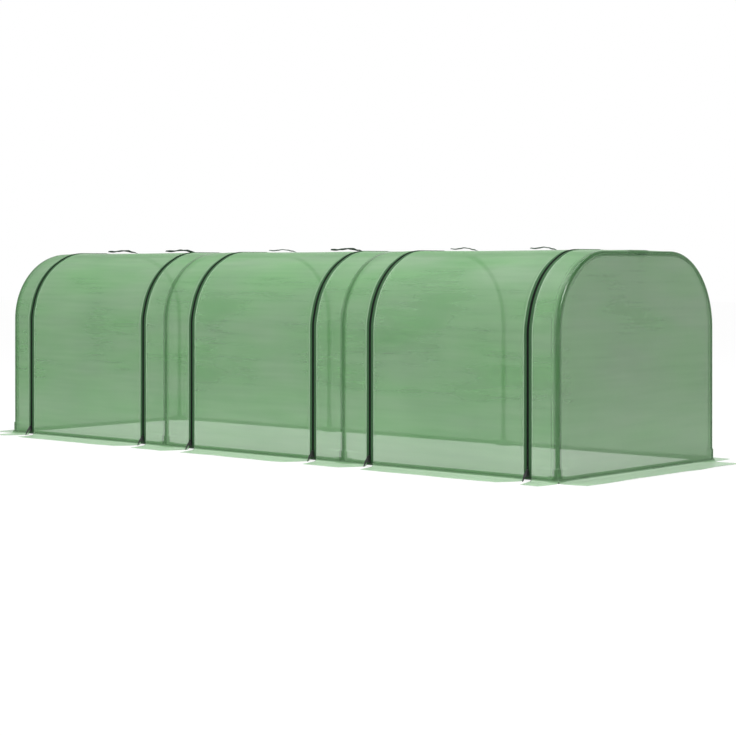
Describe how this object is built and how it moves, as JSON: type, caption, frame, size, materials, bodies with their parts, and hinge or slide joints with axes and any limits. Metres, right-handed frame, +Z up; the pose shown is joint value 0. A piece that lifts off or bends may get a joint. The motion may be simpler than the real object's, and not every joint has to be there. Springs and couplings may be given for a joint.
{
  "type": "row cover tunnel",
  "caption": "Long low garden tunnel: tube hoops on base rails under a green film cover with zipped front doors, ground skirts and roof tie ribbons.",
  "frame": {"origin": "Centre of the ground plane under the tunnel, where the base joints and the cover's skirts rest.", "axes": "+X along the tunnel, to the right for someone who faces the doors. +Y to the back. +Z up."},
  "size_m": [3.2276, 1.2396, 0.8139],
  "materials": {
    "tube_paint": "semi-gloss green coating on steel tube",
    "connector_plastic": "moulded green plastic",
    "cover_film": "translucent woven-look green film",
    "zip_metal": "black coated metal",
    "tie_ribbon": "dark green woven ribbon"
  },
  "bodies": {
    "tunnel": {"back_base_joint_1": "connector_plastic", "back_base_joint_2": "connector_plastic", "back_base_joint_3": "connector_plastic", "back_base_joint_4": "connector_plastic", "back_base_rail_1": "tube_paint", "back_base_rail_2": "tube_paint", "back_base_rail_3": "tube_paint", "front_base_joint_1": "connector_plastic", "front_base_joint_2": "connector_plastic", "front_base_joint_3": "connector_plastic", "front_base_joint_4": "connector_plastic", "front_base_rail_1": "tube_paint", "front_base_rail_2": "tube_paint", "front_base_rail_3": "tube_paint", "left_end_base_rail": "tube_paint", "right_end_base_rail": "tube_paint", "ridge_rail_1": "tube_paint", "ridge_rail_2": "tube_paint", "ridge_rail_3": "tube_paint", "ridge_joint_1": "connector_plastic", "ridge_joint_2": "connector_plastic", "ridge_joint_3": "connector_plastic", "ridge_joint_4": "connector_plastic", "hoop_1_front_half": "tube_paint", "hoop_1_back_half": "tube_paint", "hoop_2_front_half": "tube_paint", "hoop_2_back_half": "tube_paint", "hoop_3_front_half": "tube_paint", "hoop_3_back_half": "tube_paint", "hoop_4_front_half": "tube_paint", "hoop_4_back_half": "tube_paint", "back_cover": "cover_film", "front_strip_1": "cover_film", "front_strip_2": "cover_film", "front_strip_3": "cover_film", "front_strip_4": "cover_film", "left_end_panel": "cover_film", "right_end_panel": "cover_film", "door_1_tie_1": "tie_ribbon", "door_1_tie_2": "tie_ribbon", "door_2_tie_1": "tie_ribbon", "door_2_tie_2": "tie_ribbon", "door_3_tie_1": "tie_ribbon", "door_3_tie_2": "tie_ribbon"},
    "door_1_body": {"door_1": "cover_film"},
    "door_2_body": {"door_2": "cover_film"},
    "door_3_body": {"door_3": "cover_film"},
    "zip_slider_1_body": {"zip_slider_1": "zip_metal"},
    "zip_slider_2_body": {"zip_slider_2": "zip_metal"},
    "zip_slider_3_body": {"zip_slider_3": "zip_metal"},
    "zip_slider_4_body": {"zip_slider_4": "zip_metal"},
    "zip_slider_5_body": {"zip_slider_5": "zip_metal"},
    "zip_slider_6_body": {"zip_slider_6": "zip_metal"},
    "zip_pull_1_body": {"zip_pull_1": "zip_metal"},
    "zip_pull_2_body": {"zip_pull_2": "zip_metal"},
    "zip_pull_3_body": {"zip_pull_3": "zip_metal"},
    "zip_pull_4_body": {"zip_pull_4": "zip_metal"},
    "zip_pull_5_body": {"zip_pull_5": "zip_metal"},
    "zip_pull_6_body": {"zip_pull_6": "zip_metal"}
  },
  "joints": [
    {"name": "door_1_swing", "type": "hinge", "parent": "tunnel", "child": "door_1_body", "pos_m": [-0.9935, -0.07, 0.8006], "axis": [-1, 0, 0], "range_deg": [0, 100]},
    {"name": "door_2_swing", "type": "hinge", "parent": "tunnel", "child": "door_2_body", "pos_m": [0.007, -0.07, 0.8006], "axis": [-1, 0, 0], "range_deg": [0, 100]},
    {"name": "door_3_swing", "type": "hinge", "parent": "tunnel", "child": "door_3_body", "pos_m": [0.9995, -0.07, 0.8006], "axis": [-1, 0, 0], "range_deg": [0, 100]},
    {"name": "zip_slider_1_slide", "type": "slide", "parent": "tunnel", "child": "zip_slider_1_body", "axis": [0, 0, 1], "range_m": [0, 0.44]},
    {"name": "zip_slider_2_slide", "type": "slide", "parent": "tunnel", "child": "zip_slider_2_body", "axis": [0, 0, 1], "range_m": [0, 0.44]},
    {"name": "zip_slider_3_slide", "type": "slide", "parent": "tunnel", "child": "zip_slider_3_body", "axis": [0, 0, 1], "range_m": [0, 0.44]},
    {"name": "zip_slider_4_slide", "type": "slide", "parent": "tunnel", "child": "zip_slider_4_body", "axis": [0, 0, 1], "range_m": [0, 0.44]},
    {"name": "zip_slider_5_slide", "type": "slide", "parent": "tunnel", "child": "zip_slider_5_body", "axis": [0, 0, 1], "range_m": [0, 0.44]},
    {"name": "zip_slider_6_slide", "type": "slide", "parent": "tunnel", "child": "zip_slider_6_body", "axis": [0, 0, 1], "range_m": [0, 0.44]},
    {"name": "zip_pull_1_swing", "type": "hinge", "parent": "zip_slider_1_body", "child": "zip_pull_1_body", "pos_m": [-1.3638, -0.5091, 0.0375], "axis": [-1, 0, 0], "range_deg": [0, 116]},
    {"name": "zip_pull_2_swing", "type": "hinge", "parent": "zip_slider_2_body", "child": "zip_pull_2_body", "pos_m": [-0.6232, -0.5091, 0.0375], "axis": [-1, 0, 0], "range_deg": [0, 116]},
    {"name": "zip_pull_3_swing", "type": "hinge", "parent": "zip_slider_3_body", "child": "zip_pull_3_body", "pos_m": [-0.3328, -0.5091, 0.0375], "axis": [-1, 0, 0], "range_deg": [0, 116]},
    {"name": "zip_pull_4_swing", "type": "hinge", "parent": "zip_slider_4_body", "child": "zip_pull_4_body", "pos_m": [0.3468, -0.5091, 0.0375], "axis": [-1, 0, 0], "range_deg": [0, 116]},
    {"name": "zip_pull_5_swing", "type": "hinge", "parent": "zip_slider_5_body", "child": "zip_pull_5_body", "pos_m": [0.6332, -0.5091, 0.0375], "axis": [-1, 0, 0], "range_deg": [0, 116]},
    {"name": "zip_pull_6_swing", "type": "hinge", "parent": "zip_slider_6_body", "child": "zip_pull_6_body", "pos_m": [1.3658, -0.5091, 0.0375], "axis": [-1, 0, 0], "range_deg": [0, 116]}
  ]
}
